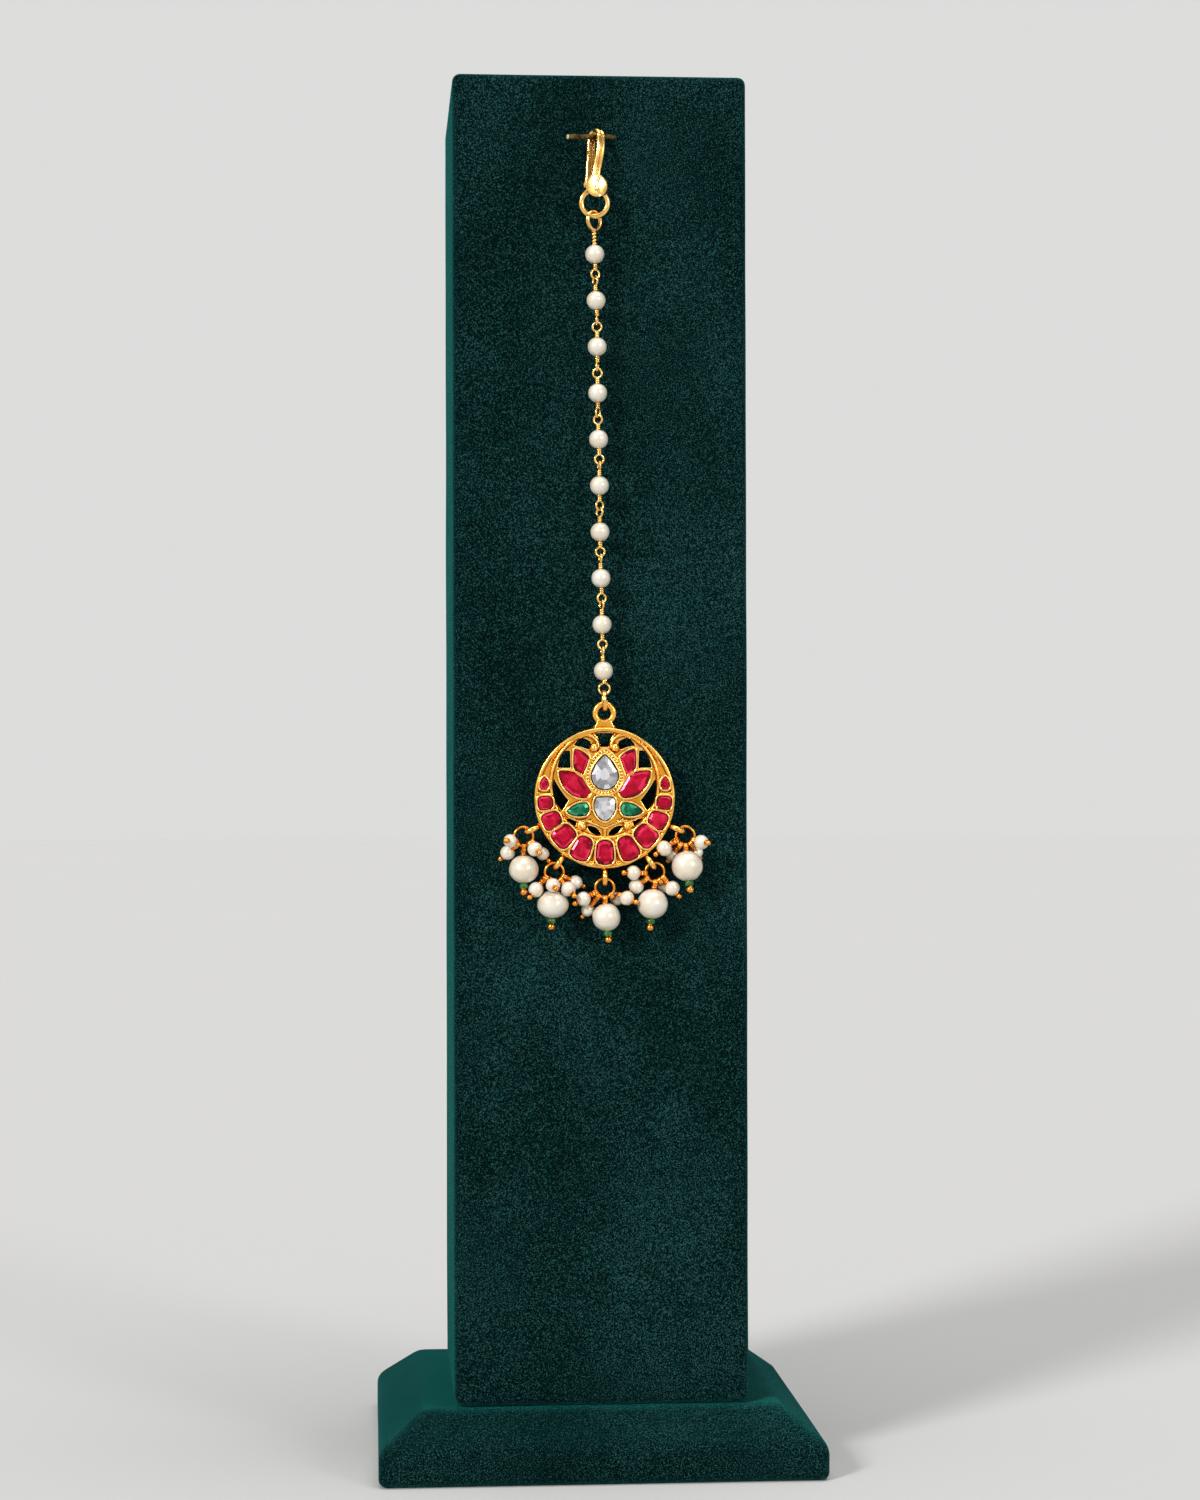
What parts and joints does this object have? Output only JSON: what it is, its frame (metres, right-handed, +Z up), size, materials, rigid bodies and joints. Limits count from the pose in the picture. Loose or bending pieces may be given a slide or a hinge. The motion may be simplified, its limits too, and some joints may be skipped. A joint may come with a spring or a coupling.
{
  "type": "maang tikka hair jewel on velvet display stand",
  "caption": "Gold forehead jewel with a gem-set crescent and lotus disc, pearl drops, a pearl chain and a hair hook, hanging from the pin of a plain velvet display block.",
  "frame": {"origin": "centre of the base's underside, on the surface that the stand rests on", "axes": "+Z up, along the column; the jewel hangs on the side that faces -Y; +X to the right as seen from the front"},
  "size_m": [0.08, 0.076, 0.251],
  "materials": {
    "velvet": "dark teal velvet with a short pile",
    "aged_brass_pin": "dull, darkened brass",
    "cast_gold": "antique gold plating, bright ridges and orange recesses",
    "gold_wire": "polished gold-plated wire",
    "pearl": "creamy nacre",
    "ruby_stone": "foil-backed red stone, flat cut",
    "emerald_stone": "foil-backed green stone, flat cut",
    "clear_stone": "silver-foil-backed clear stone, flat cut",
    "green_seed_bead": "translucent green glass"
  },
  "bodies": {
    "stand": {"chain_link_01": "gold_wire", "chain_link_02": "gold_wire", "chain_link_03": "gold_wire", "chain_link_04": "gold_wire", "chain_link_05": "gold_wire", "chain_link_06": "gold_wire", "chain_link_07": "gold_wire", "chain_link_08": "gold_wire", "chain_link_09": "gold_wire", "chain_link_10": "gold_wire", "chain_pearls": "pearl", "hook": "gold_wire", "hook_ring": "gold_wire", "stand_base": "velvet", "stand_column": "velvet", "stand_pin": "aged_brass_pin"},
    "bail": {"bail_ring": "gold_wire"},
    "pendant": {"centre_crystal": "clear_stone", "cluster_pearls_1": "pearl", "cluster_pearls_2": "pearl", "cluster_pearls_3": "pearl", "cluster_pearls_4": "pearl", "cluster_pearls_5": "pearl", "cluster_pins_1": "gold_wire", "cluster_pins_2": "gold_wire", "cluster_pins_3": "gold_wire", "cluster_pins_4": "gold_wire", "cluster_pins_5": "gold_wire", "crescent_ruby_01": "ruby_stone", "crescent_ruby_02": "ruby_stone", "crescent_ruby_03": "ruby_stone", "crescent_ruby_04": "ruby_stone", "crescent_ruby_05": "ruby_stone", "crescent_ruby_06": "ruby_stone", "crescent_ruby_07": "ruby_stone", "crescent_ruby_08": "ruby_stone", "crescent_ruby_09": "ruby_stone", "crescent_ruby_10": "ruby_stone", "crescent_ruby_11": "ruby_stone", "drop_pearl_1": "pearl", "drop_pearl_2": "pearl", "drop_pearl_3": "pearl", "drop_pearl_4": "pearl", "drop_pearl_5": "pearl", "drop_pin_1": "gold_wire", "drop_pin_2": "gold_wire", "drop_pin_3": "gold_wire", "drop_pin_4": "gold_wire", "drop_pin_5": "gold_wire", "drop_rings": "gold_wire", "leaf_emerald_left": "emerald_stone", "leaf_emerald_right": "emerald_stone", "lower_crystal": "clear_stone", "pendant_frame": "cast_gold", "petal_ruby_lower_left": "ruby_stone", "petal_ruby_lower_right": "ruby_stone", "petal_ruby_upper_left": "ruby_stone", "petal_ruby_upper_right": "ruby_stone", "seed_beads": "green_seed_bead"}
  },
  "joints": [
    {"name": "ring_swing", "type": "hinge", "parent": "stand", "child": "bail", "pos_m": [0.0003, -0.03394, 0.13954], "axis": [-1, 0, 0], "range_deg": [0, 75]},
    {"name": "pendant_swing", "type": "hinge", "parent": "bail", "child": "pendant", "pos_m": [0.0003, -0.03394, 0.13665], "axis": [0, 1, 0], "range_deg": [-45, 45]}
  ]
}
